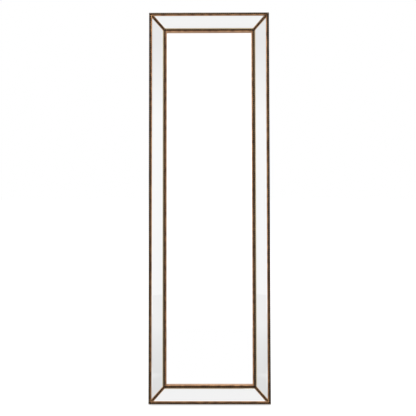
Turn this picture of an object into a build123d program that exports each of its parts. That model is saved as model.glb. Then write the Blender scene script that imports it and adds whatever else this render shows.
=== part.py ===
"""Full-length floor mirror: a dished, beaded, mirror-clad frame that leans on a folding easel leg.

The panel is modelled upright in its own frame: X to the viewer's right, Z up along the
panel, Y towards the back, with Y = 0 on the back of the wooden rails and Z = 0 on the
lower edge. The easel leg and its two stays are opened about their pivots, and the whole
mirror is then leaned back and set on the floor, centred on the origin.
"""

from build123d import *
from collections import namedtuple
import math
import os

# Panel outline
PANEL_WIDTH = 510.0
PANEL_HEIGHT = 1650.0
LEAN = 8.0                # backward lean of the panel, degrees from vertical
SPREAD = 17.0             # angle between the panel and the open leg, degrees

# Frame section: places inward from the outer edge, depths from the back of the rails
TRIM_WIDTH = 12.8
STRIP_WIDTH = 46.8        # plan width of the mirrored strips
OUTER_DEPTH = 42.0        # depth of the rails under the outer trim
INNER_DEPTH = 14.0        # depth of the rails under the inner trim
RABBET_DEPTH = 8.0        # main mirror, felt and clearance lie in this recess
SIGHT_LIP = 7.0           # how far the rails lap over the main mirror

# Beaded trim
TRIM_BASE = 3.0
BEAD_PITCH = 8.8
BEAD_RADIUS = 3.9
BEAD_NECK = 1.2
BEAD_INSET = 4.6          # bead axis from the outer side of its trim
FILLET_WIDTH = 4.0
FILLET_WALL = 1.3         # straight side of the fillet below its round top

# Corner trim over the mitres of the strips
MITRE_TRIM_WIDTH = 12.0
MITRE_TRIM_STEP = 0.8     # the corner trim's base stands this far above the glass
MITRE_BEAD_GAP = 0.2

# Glass and backing
STRIP_GLASS = 4.0
STRIP_BEVEL = 4.0
STRIP_BEVEL_DROP = 0.8
STRIP_GAP = 0.15
MAIN_GLASS = 5.0
GLASS_GAP = 1.0
FELT = 3.0
BACK_PANEL = 4.0
BACK_PANEL_INSET = 8.0
SETTING_BLOCK_LENGTH = 30.0
SETTING_BLOCK_INSET = 90.0  # block centre from the side of the main mirror

# Corner splines in the mitred joints of the rails
SPLINE_LENGTH = 40.0
SPLINE_WIDTH = 30.0
SPLINE_THICK = 3.0
SPLINE_DEPTH = 4.0        # back of the rails to the back of the spline
SPLINE_PLACE = 38.0       # spline centre from both outer edges
SPLINE_GAP = 0.1

# Battens on the back
BATTEN_INSET = 16.0       # from the panel's outer edge
BATTEN_HEIGHT = 60.0
BATTEN_THICK = 18.0
HINGE_HEIGHT = 1130.0
BUMPER_HEIGHT = 120.0
BATTEN_SCREW_INSET = 30.0   # from the panel's outer edge
BATTEN_SCREW_SPREAD = 30.0

# Easel leg
LEG_WIDTH = 200.0
UPRIGHT_WIDTH = 22.0
UPRIGHT_DEPTH = 30.0
RUNG_HEIGHT = 40.0
RUNG_THICK = 18.0
TOP_RUNG_DROP = 70.0      # rung centre below the hinge
MIDDLE_RUNG_RISE = 86.0   # rung centre above the slider pin of the open leg
BOTTOM_RUNG_RISE = 124.0  # rung centre above the leg's foot
RUNG_SCREW_SPREAD = 20.0
WOOD_ROUND = 2.0          # rounded edges of the leg and the battens
FOLDED_GAP = 5.0          # batten face to folded leg
BUMPER_GAP = 0.3
BUMPER_RADIUS = 9.0
LEG_FOOT = 6.0

# Hinge
ROD_RADIUS = 4.0
RUNNING_FIT = 0.05
PRESS_GAP = 0.02
BUSH_RADIUS = 6.0
BUSH_FLANGE_RADIUS = 9.0
BUSH_FLANGE = 1.0
HINGE_SIDE_GAP = 0.5
STEEL = 3.0
HINGE_EAR_RADIUS = 12.0
HINGE_BASE_WIDTH = 32.0
HINGE_BRACKET_HEIGHT = 56.0
NUT_FLAT_RADIUS = 6.5
NUT_HEIGHT = 6.0
NUT_DOME = 5.5
NUT_BORE = 7.0

# Stays
STAY_LENGTH = 330.0
STAY_WIDTH = 16.0
PIN_RADIUS = 3.0
PIN_HEAD_RADIUS = 5.0
PIN_HEAD = 1.6
PIN_HEAD_GAP = 0.2
STAY_SIDE_GAP = 0.5
STAY_EAR_RADIUS = 9.0
STAY_BASE_WIDTH = 26.0
STAY_BRACKET_HEIGHT = 44.0

# Slotted tracks on the leg
TRACK_THICK = 2.5
TRACK_WIDTH = 20.0
TRACK_END = 20.0          # plate beyond each end of the pin's travel
TRACK_SCREW_PLACE = 13.0
SLOT_GAP = 0.3
POCKET_DEPTH = 4.5
POCKET_GAP = 1.0

# Countersunk screws
Screw = namedtuple("Screw", "head shank length")
BACK_SCREW = Screw(head=3.2, shank=1.5, length=16.0)
BATTEN_SCREW = Screw(head=4.5, shank=2.2, length=42.0)
BRACKET_SCREW = Screw(head=4.0, shank=1.9, length=18.0)
RUNG_SCREW = Screw(head=4.0, shank=1.9, length=45.0)
TRACK_SCREW = Screw(head=3.2, shank=1.5, length=14.0)
RECESS_WIDTH = 0.9        # cross recess in the heads
RECESS_DEPTH = 1.1
BRACKET_SCREW_INSET = 10.0
BACK_SCREW_INSET = 12.0     # from the back panel's edge
BACK_SCREWS_ACROSS = 3
BACK_SCREWS_UP = 6

# Feet under the panel
FOOT_LENGTH = 60.0
FOOT_DEPTH = 18.0
FOOT_THICK = 2.0          # at the rear edge of the panel
FOOT_INSET = 65.0         # foot centre from the panel's outer edge

# Worked-out places
STRIP_START = TRIM_WIDTH
STRIP_END = TRIM_WIDTH + STRIP_WIDTH
SIGHT_EDGE = STRIP_END + TRIM_WIDTH
RABBET_EDGE = SIGHT_EDGE - SIGHT_LIP
GLASS_EDGE = RABBET_EDGE + GLASS_GAP
SLOPE = (OUTER_DEPTH - INNER_DEPTH) / STRIP_WIDTH
STRIP_RISE = STRIP_GLASS * math.hypot(1.0, SLOPE)
HALF_WIDTH = PANEL_WIDTH / 2
HALF_LEG = LEG_WIDTH / 2
BATTEN_FACE = BACK_PANEL + BATTEN_THICK
HINGE_Y = BATTEN_FACE + FOLDED_GAP + UPRIGHT_DEPTH / 2
STAY_HEIGHT = HINGE_HEIGHT - STAY_LENGTH
PIN_FOLDED = 2 * STAY_LENGTH
PIN_OPEN = PIN_FOLDED * math.cos(math.radians(SPREAD))
HINGE_EAR = HALF_LEG + BUSH_FLANGE + HINGE_SIDE_GAP
ARM_INNER = HALF_LEG + TRACK_THICK + STAY_SIDE_GAP
ARM_OUTER = ARM_INNER + STEEL
STAY_EAR = ARM_OUTER + STAY_SIDE_GAP
FOOT_DROP = FOOT_THICK * math.cos(math.radians(LEAN))
HINGE_SINK = HINGE_Y * math.sin(math.radians(LEAN))
HINGE_RISE = HINGE_HEIGHT * math.cos(math.radians(LEAN)) - HINGE_SINK + FOOT_DROP
LEG_LENGTH = HINGE_RISE / math.cos(math.radians(SPREAD - LEAN))
RUNG_DROPS = {
    "top": TOP_RUNG_DROP,
    "middle": PIN_OPEN - MIDDLE_RUNG_RISE,
    "bottom": LEG_LENGTH - BOTTOM_RUNG_RISE,
}


def polygon_face(points):
    """Flat face inside a closed polygon of 3-D points."""
    return Face(Wire.make_polygon([Vector(*p) for p in points], close=True))


def prism_x(profile, start, end):
    """Bar along X between two places, from (y, z) points."""
    face = polygon_face([(start, y, z) for y, z in profile])
    return Solid.extrude(face, Vector(end - start, 0, 0))


def prism_y(outline, start, end):
    """Slab along Y between two depths, from (x, z) points."""
    face = polygon_face([(x, start, z) for x, z in outline])
    return Solid.extrude(face, Vector(0, end - start, 0))


def block(x_range, y_range, z_range):
    """Rectangular block between three pairs of limits."""
    (x0, x1), (y0, y1), (z0, z1) = x_range, y_range, z_range
    return Pos(x0, y0, z0) * Solid.make_box(x1 - x0, y1 - y0, z1 - z0)


def rod_x(radius, start, end, y=0.0, z=0.0):
    """Cylinder along X between two places."""
    plane = Plane(origin=(start, y, z), x_dir=(0, 1, 0), z_dir=(1, 0, 0))
    return Solid.make_cylinder(radius, end - start, plane)


def rounded_bar_x(half_width, start, end, z_low, z_high):
    """Flat bar across X whose two ends are round about the given heights."""
    low_left, low_right = (start, -half_width, z_low), (start, half_width, z_low)
    top_left, top_right = (start, -half_width, z_high), (start, half_width, z_high)
    face = Face(Wire([
        Edge.make_line(low_left, top_left),
        Edge.make_three_point_arc(top_left, (start, 0, z_high + half_width), top_right),
        Edge.make_line(top_right, low_right),
        Edge.make_three_point_arc(low_right, (start, 0, z_low - half_width), low_left),
    ]))
    return Solid.extrude(face, Vector(end - start, 0, 0))


def toward(direction, point):
    """Location at a point whose local Z runs along a direction."""
    side = (0, 0, 1) if abs(direction[2]) < 0.5 else (1, 0, 0)
    return Location(Plane(origin=point, x_dir=side, z_dir=direction))


def screw_body(size):
    """Countersunk screw along its local -Z, with its head flush at Z = 0."""
    head, shank, length = size
    cone = head - shank
    outline = [(0, 0), (head, 0), (shank, -cone), (shank, shank - length), (0, -length)]
    return Solid.revolve(polygon_face([(x, 0, z) for x, z in outline]), 360, Axis.Z)


def screws(size, places):
    """One screw with a cross recess at each place."""
    half, reach = RECESS_WIDTH / 2, size.head / 2
    cross = [
        block((-reach, reach), (-half, half), (-RECESS_DEPTH, RECESS_DEPTH)),
        block((-half, half), (-reach, reach), (-RECESS_DEPTH, RECESS_DEPTH)),
    ]
    body = screw_body(size).cut(*cross)
    return [place * body for place in places]


def screw_holes(size, places):
    """One countersunk hole that fits the screw at each place."""
    body = screw_body(Screw(*(value + PRESS_GAP for value in size)))
    return [place * body for place in places]


def softened(solid, chosen):
    """Round the edges of a wooden piece that a test picks out by their middle point."""
    edges = [edge for edge in solid.edges() if chosen(edge @ 0.5)]
    return solid.fillet(WOOD_ROUND, edges)


# Frame sides that are modelled: local X along the side, local Z inward from the outer edge
SIDES = {
    "bottom": (PANEL_WIDTH, Pos(0, 0, 0)),
    "left": (PANEL_HEIGHT, Pos(-HALF_WIDTH, 0, PANEL_HEIGHT / 2) * Rot(0, 90, 0)),
}
MIDDLE_PLANE = Plane.XY.offset(PANEL_HEIGHT / 2)


def four_sides(make, *sizes):
    """Pieces for the bottom and left sides, mirrored to the top and right."""
    bottom, left = make("bottom", *sizes), make("left", *sizes)
    return {"bottom": bottom, "top": bottom.mirror(MIDDLE_PLANE),
            "left": left, "right": left.mirror(Plane.YZ)}


def mitred(bar, length, inward_start, inward_end, setback=0.0):
    """Cut a bar at 45 degrees at both ends, so that four of them close a frame."""
    def end(inward):
        return length / 2 - inward - setback * math.sqrt(2)
    outline = [
        (-end(inward_start), inward_start), (end(inward_start), inward_start),
        (end(inward_end), inward_end), (-end(inward_end), inward_end),
    ]
    return bar & prism_y(outline, -2 * OUTER_DEPTH, OUTER_DEPTH)


def strip_face_y(inward):
    """Depth of the sloping glass face at a distance from the outer edge."""
    return -OUTER_DEPTH + SLOPE * (inward - STRIP_START)


def rail(side):
    """One side of the wooden frame, with its channel, its rabbet and its spline slots."""
    length, place = SIDES[side]
    section = [
        (0, 0), (-OUTER_DEPTH, 0), (-OUTER_DEPTH, STRIP_START),
        (strip_face_y(STRIP_START) + STRIP_RISE, STRIP_START),
        (strip_face_y(STRIP_END) + STRIP_RISE, STRIP_END),
        (-INNER_DEPTH, STRIP_END), (-INNER_DEPTH, SIGHT_EDGE),
        (-RABBET_DEPTH, SIGHT_EDGE), (-RABBET_DEPTH, RABBET_EDGE), (0, RABBET_EDGE),
    ]
    bar = prism_x(section, -length / 2, length / 2)
    return place * mitred(bar, length, 0, SIGHT_EDGE)


def corner_spline(corner_x, corner_z, gap=0.0):
    """Wooden key that lies across one mitre, or its slot when a gap is given."""
    x = corner_x * (HALF_WIDTH - SPLINE_PLACE)
    z = SPLINE_PLACE if corner_z < 0 else PANEL_HEIGHT - SPLINE_PLACE
    key = Box(SPLINE_LENGTH + 2 * gap, SPLINE_THICK + 2 * gap, SPLINE_WIDTH + 2 * gap)
    turn = 45 * corner_x * corner_z
    return Pos(x, -SPLINE_DEPTH - SPLINE_THICK / 2, z) * Rot(0, turn, 0) * key.solid()


def bead_row(count, pitch):
    """Half-round row of beads along X from X = 0, flat below and joined by thin necks."""
    reach = math.sqrt(BEAD_RADIUS ** 2 - BEAD_NECK ** 2)
    start = Vector(-BEAD_RADIUS, 0, 0)
    last, edges = start, []
    for index in range(count):
        centre = index * pitch
        low = Vector(centre - reach, BEAD_NECK) if index else start
        high = Vector(centre + reach, BEAD_NECK)
        if index == count - 1:
            high = Vector(centre + BEAD_RADIUS, 0)
        if index:
            edges.append(Edge.make_line(last, low))
        edges.append(Edge.make_three_point_arc(low, Vector(centre, BEAD_RADIUS), high))
        last = high
    edges.append(Edge.make_line(last, start))
    return Solid.revolve(Face(Wire(edges)), 180, Axis.X)


def trim(side, start, seat):
    """Beaded moulding on one side: a flat base, beads outside and a smooth fillet inside."""
    length, place = SIDES[side]
    face = -seat - TRIM_BASE
    end = start + TRIM_WIDTH
    fillet = end - FILLET_WIDTH
    shoulder = face - FILLET_WALL
    crest = shoulder - FILLET_WIDTH / 2
    x = -length / 2
    profile = Face(Wire([
        Edge.make_line((x, -seat, start), (x, face, start)),
        Edge.make_line((x, face, start), (x, face, fillet)),
        Edge.make_line((x, face, fillet), (x, shoulder, fillet)),
        Edge.make_three_point_arc(
            (x, shoulder, fillet), (x, crest, fillet + FILLET_WIDTH / 2), (x, shoulder, end)),
        Edge.make_line((x, shoulder, end), (x, -seat, end)),
        Edge.make_line((x, -seat, end), (x, -seat, start)),
    ]))
    bar = mitred(Solid.extrude(profile, Vector(length, 0, 0)), length, start, end)
    run = length - 2 * (start + BEAD_INSET)
    spaces = round(run / BEAD_PITCH)
    pitch = run / spaces
    first = 0 if side == "bottom" else 1
    row = Pos(first * pitch - run / 2, face, start + BEAD_INSET) * Rot(90, 0, 0)
    beads = row * bead_row(spaces + 1 - 2 * first, pitch)
    return place * bar.fuse(beads)


def mirror_strip(side):
    """Sloping mirrored strip with a narrow bevel along both edges and mitred ends."""
    length, place = SIDES[side]
    start, end = STRIP_START + STRIP_GAP, STRIP_END - STRIP_GAP
    bevel = STRIP_BEVEL / math.hypot(1.0, SLOPE)
    section = [
        (strip_face_y(start) + STRIP_BEVEL_DROP, start),
        (strip_face_y(start + bevel), start + bevel),
        (strip_face_y(end - bevel), end - bevel),
        (strip_face_y(end) + STRIP_BEVEL_DROP, end),
        (strip_face_y(end) + STRIP_RISE, end),
        (strip_face_y(start) + STRIP_RISE, start),
    ]
    bar = prism_x(section, -length / 2, length / 2)
    setback = MITRE_TRIM_WIDTH / 2 + STRIP_GAP
    return place * mitred(bar, length, start, end, setback)


def mitre_trim():
    """Beaded trim in the valley between two strips, at the lower left corner."""
    root = math.sqrt(2 + SLOPE ** 2)
    along = Vector(1, SLOPE, 1) / root
    across = Vector(-1, 0, 1).normalized()
    front = along.cross(across)
    valley = Vector(STRIP_START - HALF_WIDTH, strip_face_y(STRIP_START) + STRIP_RISE, STRIP_START)
    half = MITRE_TRIM_WIDTH / 2
    side_rise = half * SLOPE / root
    top = STRIP_RISE * math.sqrt(2) / root + side_rise + MITRE_TRIM_STEP
    section = [(0, 0), (half, side_rise), (half, top), (-half, top), (-half, side_rise)]
    spare = TRIM_WIDTH
    run = STRIP_WIDTH * root
    base = valley - along * spare
    face = polygon_face([tuple(base + across * a + front * b) for a, b in section])
    bar = Solid.extrude(face, along * (run + 2 * spare))
    reach = (-2 * OUTER_DEPTH, OUTER_DEPTH)
    corner = (STRIP_START - HALF_WIDTH, STRIP_END - HALF_WIDTH + spare)
    inner = (STRIP_END - HALF_WIDTH, STRIP_END - HALF_WIDTH + 2 * spare)
    ring = block(corner, reach, (STRIP_START, STRIP_END + spare))
    ring = ring - block(inner, reach, (STRIP_END, STRIP_END + 2 * spare))
    bar = bar & ring
    drift = top * front.X
    first = (BEAD_RADIUS + MITRE_BEAD_GAP - drift) * root
    last = (STRIP_WIDTH - BEAD_RADIUS / math.sqrt(2) - MITRE_BEAD_GAP - drift) * root
    spaces = round((last - first) / BEAD_PITCH)
    origin = valley + front * top + along * first
    row = Location(Plane(origin=origin, x_dir=along, z_dir=front))
    return bar.fuse(row * bead_row(spaces + 1, (last - first) / spaces))


def at_corner(shape, corner_x, corner_z):
    """Mirror a lower left piece to another corner of the panel."""
    if corner_x > 0:
        shape = shape.mirror(Plane.YZ)
    if corner_z > 0:
        shape = shape.mirror(MIDDLE_PLANE)
    return shape


def panel_slab(edge, y_range):
    """Slab of the panel's outline, a distance inside its outer edge."""
    half = HALF_WIDTH - edge
    return block((-half, half), y_range, (edge, PANEL_HEIGHT - edge))


def setting_blocks():
    """Two blocks that carry the main mirror in its rabbet."""
    half = SETTING_BLOCK_LENGTH / 2
    place = HALF_WIDTH - GLASS_EDGE - SETTING_BLOCK_INSET
    depth = (-RABBET_DEPTH, MAIN_GLASS - RABBET_DEPTH)
    return [block((x - half, x + half), depth, (RABBET_EDGE, GLASS_EDGE)) for x in (-place, place)]


def back_screw_places():
    """Places of the screws around the edge of the back panel."""
    edge = BACK_PANEL_INSET + BACK_SCREW_INSET
    x_far, z_low, z_high = HALF_WIDTH - edge, edge, PANEL_HEIGHT - edge
    step_x = 2 * x_far / (BACK_SCREWS_ACROSS - 1)
    step_z = (z_high - z_low) / (BACK_SCREWS_UP - 1)
    points = [(-x_far + i * step_x, z) for z in (z_low, z_high) for i in range(BACK_SCREWS_ACROSS)]
    points += [(x, z_low + i * step_z) for x in (-x_far, x_far) for i in range(1, BACK_SCREWS_UP - 1)]
    return [toward((0, 1, 0), (x, BACK_PANEL, z)) for x, z in points]


def batten_screw_places(height):
    """Places of the four screws that hold one batten to the stiles."""
    x = HALF_WIDTH - BATTEN_SCREW_INSET
    half = BATTEN_SCREW_SPREAD / 2
    return [
        toward((0, 1, 0), (side * x, BATTEN_FACE, height + dz))
        for side in (-1, 1) for dz in (-half, half)
    ]


def batten(height):
    """Cross batten on the back panel, rounded around its rear face."""
    half = HALF_WIDTH - BATTEN_INSET
    z_range = (height - BATTEN_HEIGHT / 2, height + BATTEN_HEIGHT / 2)
    bar = block((-half, half), (BACK_PANEL, BATTEN_FACE), z_range)
    return softened(bar, lambda middle: middle.Y > BATTEN_FACE - PRESS_GAP)


def bracket_screw_places(ear, base_width, bracket_height, height):
    """Places of the two screws in each foot of a pair of brackets."""
    x = ear + base_width - BRACKET_SCREW_INSET
    half = bracket_height / 2 - BRACKET_SCREW_INSET
    return [
        toward((0, 1, 0), (side * x, BATTEN_FACE + STEEL, height + dz))
        for side in (-1, 1) for dz in (-half, half)
    ]


def bracket(ear, ear_radius, base_width, bracket_height, height, hole):
    """Steel angle bracket on the right side: a foot on the batten and a round-ended ear."""
    half = bracket_height / 2
    foot = block((ear, ear + base_width), (BATTEN_FACE, BATTEN_FACE + STEEL),
                 (height - half, height + half))
    low, high = (ear, BATTEN_FACE, height - ear_radius), (ear, BATTEN_FACE, height + ear_radius)
    low_end, high_end = (ear, HINGE_Y, height - ear_radius), (ear, HINGE_Y, height + ear_radius)
    outline = Face(Wire([
        Edge.make_line(low, low_end),
        Edge.make_three_point_arc(low_end, (ear, HINGE_Y + ear_radius, height), high_end),
        Edge.make_line(high_end, high),
        Edge.make_line(high, low),
    ]))
    flange = Solid.extrude(outline, Vector(STEEL, 0, 0))
    bore = rod_x(hole, ear - STEEL, ear + 2 * STEEL, HINGE_Y, height)
    return foot.fuse(flange) - bore


def dome_nut():
    """Right-hand dome nut with a blind hole, against the outer face of its ear."""
    start = HINGE_EAR + STEEL
    corner = NUT_FLAT_RADIUS / math.cos(math.pi / 6)
    points = [
        (HINGE_Y + corner * math.cos(math.pi / 3 * i), HINGE_HEIGHT + corner * math.sin(math.pi / 3 * i))
        for i in range(6)
    ]
    body = prism_x(points, start, start + NUT_HEIGHT)
    dome = Solid.make_sphere(NUT_DOME, Plane((start + NUT_HEIGHT, HINGE_Y, HINGE_HEIGHT)),
                             angle1=-90, angle2=90)
    half = block((start + NUT_HEIGHT, start + NUT_HEIGHT + 2 * NUT_DOME),
                 (HINGE_Y - NUT_DOME, HINGE_Y + NUT_DOME),
                 (HINGE_HEIGHT - NUT_DOME, HINGE_HEIGHT + NUT_DOME))
    bore = rod_x(ROD_RADIUS + PRESS_GAP, start, start + NUT_BORE, HINGE_Y, HINGE_HEIGHT)
    return body.fuse(dome & half) - bore


def floor_in_leg(y, lift=0.0):
    """Height of the floor, or of a plane above it, in the opened leg's own frame."""
    tilt = math.radians(SPREAD - LEAN)
    return -(HINGE_RISE - lift + y * math.sin(tilt)) / math.cos(tilt)


def rung_screw_places():
    """Places of the screws through both uprights into the rung ends, in the leg frame."""
    half = RUNG_SCREW_SPREAD / 2
    return [
        toward((side, 0, 0), (side * HALF_LEG, 0, dz - drop))
        for drop in RUNG_DROPS.values() for side in (-1, 1) for dz in (-half, half)
    ]


def track_screw_places():
    """Places of the screws at both ends of both slotted tracks, in the leg frame."""
    ends = (TRACK_SCREW_PLACE - PIN_OPEN, -PIN_FOLDED - TRACK_SCREW_PLACE)
    return [
        toward((side, 0, 0), (side * (HALF_LEG + TRACK_THICK), 0, z))
        for side in (-1, 1) for z in ends
    ]


def upright():
    """Right upright of the leg: round top, bush hole, pin pocket and foot cut to the floor."""
    half = UPRIGHT_DEPTH / 2
    start = HALF_LEG - UPRIGHT_WIDTH
    front, back = (start, -half, 0), (start, half, 0)
    front_foot = (start, -half, floor_in_leg(-half, LEG_FOOT))
    back_foot = (start, half, floor_in_leg(half, LEG_FOOT))
    outline = Face(Wire([
        Edge.make_line(front_foot, front),
        Edge.make_three_point_arc(front, (start, 0, half), back),
        Edge.make_line(back, back_foot),
        Edge.make_line(back_foot, front_foot),
    ]))
    bar = Solid.extrude(outline, Vector(UPRIGHT_WIDTH, 0, 0))
    middle_x = HALF_LEG - UPRIGHT_WIDTH / 2
    foot_top = floor_in_leg(-half, LEG_FOOT)
    bar = softened(bar, lambda middle: abs(middle.X - middle_x) > half / 2 and middle.Z > foot_top + half)
    bore = rod_x(BUSH_RADIUS, start - STEEL, HALF_LEG + STEEL)
    pocket = rounded_bar_x(PIN_HEAD_RADIUS + POCKET_GAP, HALF_LEG - POCKET_DEPTH, HALF_LEG + STEEL,
                           -PIN_FOLDED, -PIN_OPEN)
    return bar - bore - pocket


def leg_foot():
    """Right rubber foot, flat on the floor when the leg is open."""
    half = UPRIGHT_DEPTH / 2
    outline = [
        (-half, floor_in_leg(-half)), (half, floor_in_leg(half)),
        (half, floor_in_leg(half, LEG_FOOT)), (-half, floor_in_leg(-half, LEG_FOOT)),
    ]
    return prism_x(outline, HALF_LEG - UPRIGHT_WIDTH, HALF_LEG)


def rung(drop):
    """Cross rung between the uprights."""
    half = HALF_LEG - UPRIGHT_WIDTH
    bar = block((-half, half), (-RUNG_THICK / 2, RUNG_THICK / 2),
                (-drop - RUNG_HEIGHT / 2, RUNG_HEIGHT / 2 - drop))
    return softened(bar, lambda middle: abs(middle.X) < half / 2)


def bush():
    """Right flanged bush that turns on the hinge rod."""
    start = HALF_LEG - UPRIGHT_WIDTH
    flange = rod_x(BUSH_FLANGE_RADIUS, HALF_LEG, HALF_LEG + BUSH_FLANGE)
    sleeve = rod_x(BUSH_RADIUS, start, HALF_LEG).fuse(flange)
    return sleeve - rod_x(ROD_RADIUS + RUNNING_FIT, start - STEEL, HALF_LEG + STEEL)


def track():
    """Right slotted steel plate on the outer side of the upright."""
    half = TRACK_WIDTH / 2
    plate = block((HALF_LEG, HALF_LEG + TRACK_THICK), (-half, half),
                  (-PIN_FOLDED - TRACK_END, TRACK_END - PIN_OPEN))
    slot = rounded_bar_x(PIN_RADIUS + SLOT_GAP, HALF_LEG - STEEL, ARM_INNER, -PIN_FOLDED, -PIN_OPEN)
    return plate - slot


def stay_arm():
    """Right stay in its own frame: pivot hole at the origin, slider hole below it."""
    arm = rounded_bar_x(STAY_WIDTH / 2, ARM_INNER, ARM_OUTER, -STAY_LENGTH, 0)
    reach = (ARM_INNER - STEEL, ARM_OUTER + STEEL)
    arm = arm - rod_x(PIN_RADIUS + RUNNING_FIT, *reach)
    return arm - rod_x(PIN_RADIUS + PRESS_GAP, *reach, z=-STAY_LENGTH)


def headed_pin(inner_head, inner, outer, z=0.0):
    """Round pin along X with a flat head at both ends, on the right side."""
    shank = rod_x(PIN_RADIUS, inner, outer, z=z)
    heads = [
        rod_x(PIN_HEAD_RADIUS, inner_head, inner, z=z),
        rod_x(PIN_HEAD_RADIUS, outer, outer + PIN_HEAD, z=z),
    ]
    return shank.fuse(*heads)


def slider_pin():
    """Right pin riveted to the stay: its inner head runs behind the slotted track."""
    inner = HALF_LEG - STAY_SIDE_GAP
    return headed_pin(inner - PIN_HEAD, inner, ARM_OUTER, z=-STAY_LENGTH)


def pivot_pin():
    """Right rivet of the stay bracket, on which the stay turns."""
    inner = ARM_INNER - PIN_HEAD_GAP
    return headed_pin(inner - PIN_HEAD, inner, STAY_EAR + STEEL)


def leg_bumper():
    """Right rubber bumper that stops the folding leg."""
    x = HALF_LEG - UPRIGHT_WIDTH / 2
    plane = Plane(origin=(x, BATTEN_FACE, BUMPER_HEIGHT), x_dir=(1, 0, 0), z_dir=(0, 1, 0))
    return Solid.make_cylinder(BUMPER_RADIUS, FOLDED_GAP - BUMPER_GAP, plane)


def foot_pad():
    """Right rubber foot under the panel's rear edge, with a level underside."""
    x = HALF_WIDTH - FOOT_INSET
    slope = math.tan(math.radians(LEAN))
    front_drop = FOOT_THICK + FOOT_DEPTH * slope
    profile = [(0, 0), (-FOOT_DEPTH, 0), (-FOOT_DEPTH, -front_drop), (0, -FOOT_THICK)]
    return prism_x(profile, x - FOOT_LENGTH / 2, x + FOOT_LENGTH / 2)


def both(shape):
    """A right-hand piece and its mirror image on the left."""
    return [shape.mirror(Plane.YZ), shape]


def build_panel():
    """Pieces of the leaning panel, upright in the panel frame."""
    corners = [(x, z) for z in (-1, 1) for x in (-1, 1)]
    corner_names = {(-1, -1): "bottom_left", (1, -1): "bottom_right",
                    (-1, 1): "top_left", (1, 1): "top_right"}
    heights = {"hinge": HINGE_HEIGHT, "stay": STAY_HEIGHT, "bumper": BUMPER_HEIGHT}
    hinge_sizes = (HINGE_EAR, HINGE_BASE_WIDTH, HINGE_BRACKET_HEIGHT, HINGE_HEIGHT)
    stay_sizes = (STAY_EAR, STAY_BASE_WIDTH, STAY_BRACKET_HEIGHT, STAY_HEIGHT)
    back_places = back_screw_places()
    batten_places = {name: batten_screw_places(height) for name, height in heights.items()}
    hinge_places = bracket_screw_places(*hinge_sizes)
    stay_places = bracket_screw_places(*stay_sizes)
    bracket_places = {"hinge": hinge_places, "stay": stay_places, "bumper": []}

    back_holes = screw_holes(BACK_SCREW, back_places)
    batten_holes = {name: screw_holes(BATTEN_SCREW, places) for name, places in batten_places.items()}
    bracket_holes = {name: screw_holes(BRACKET_SCREW, places) for name, places in bracket_places.items()}
    through_holes = back_holes + [hole for holes in batten_holes.values() for hole in holes]

    slots = [corner_spline(x, z, SPLINE_GAP) for x, z in corners]
    parts = {}
    for side, shape in four_sides(rail).items():
        name = "stile" if side in ("left", "right") else "rail"
        parts[f"frame_{side}_{name}"] = shape.cut(*slots, *through_holes)
    for side, shape in four_sides(trim, 0.0, OUTER_DEPTH).items():
        parts[f"outer_trim_{side}"] = shape
    for side, shape in four_sides(trim, STRIP_END, INNER_DEPTH).items():
        parts[f"inner_trim_{side}"] = shape
    for side, shape in four_sides(mirror_strip).items():
        parts[f"mirror_strip_{side}"] = shape
    corner_piece = mitre_trim()
    for x, z in corners:
        parts[f"mitre_trim_{corner_names[x, z]}"] = at_corner(corner_piece, x, z)
    parts["corner_splines"] = [corner_spline(x, z) for x, z in corners]

    glass_back = MAIN_GLASS - RABBET_DEPTH
    parts["main_mirror"] = panel_slab(GLASS_EDGE, (-RABBET_DEPTH, glass_back))
    parts["setting_blocks"] = setting_blocks()
    parts["backing_felt"] = panel_slab(GLASS_EDGE, (glass_back, glass_back + FELT))
    parts["back_panel"] = panel_slab(BACK_PANEL_INSET, (0, BACK_PANEL)).cut(*through_holes)
    parts["back_panel_screws"] = screws(BACK_SCREW, back_places)

    for name, height in heights.items():
        holes = batten_holes[name] + bracket_holes[name]
        parts[f"{name}_batten"] = batten(height).cut(*holes)
    parts["batten_screws"] = screws(BATTEN_SCREW, [p for places in batten_places.values() for p in places])

    hinge_bracket = bracket(HINGE_EAR, HINGE_EAR_RADIUS, *hinge_sizes[1:], ROD_RADIUS + PRESS_GAP)
    stay_bracket = bracket(STAY_EAR, STAY_EAR_RADIUS, *stay_sizes[1:], PIN_RADIUS + PRESS_GAP)
    for name, shape in (("hinge", hinge_bracket), ("stay", stay_bracket)):
        left, right = both(shape)
        parts[f"{name}_bracket_left"] = left.cut(*bracket_holes[name])
        parts[f"{name}_bracket_right"] = right.cut(*bracket_holes[name])
        parts[f"{name}_bracket_screws"] = screws(BRACKET_SCREW, bracket_places[name])

    rod_end = HINGE_EAR + STEEL + NUT_BORE
    parts["hinge_rod"] = rod_x(ROD_RADIUS, -rod_end, rod_end, HINGE_Y, HINGE_HEIGHT)
    parts["hinge_dome_nuts"] = both(dome_nut())
    parts["stay_pivot_pins"] = both(Pos(0, HINGE_Y, STAY_HEIGHT) * pivot_pin())
    parts["leg_bumpers"] = both(leg_bumper())
    parts["foot_pads"] = both(foot_pad())
    return parts


def build_leg():
    """Pieces of the easel leg, hanging from the hinge axis at the origin."""
    rung_places, track_places = rung_screw_places(), track_screw_places()
    rung_holes = screw_holes(RUNG_SCREW, rung_places)
    track_holes = screw_holes(TRACK_SCREW, track_places)
    parts = {}
    for name, shape in zip(("left", "right"), both(upright())):
        parts[f"leg_upright_{name}"] = shape.cut(*rung_holes, *track_holes)
    for name, shape in zip(("left", "right"), both(track())):
        parts[f"slot_track_{name}"] = shape.cut(*track_holes)
    for name, drop in RUNG_DROPS.items():
        parts[f"leg_rung_{name}"] = rung(drop).cut(*rung_holes)
    parts["rung_screws"] = screws(RUNG_SCREW, rung_places)
    parts["track_screws"] = screws(TRACK_SCREW, track_places)
    parts["hinge_bushes"] = both(bush())
    parts["leg_feet"] = both(leg_foot())
    return parts


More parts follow.
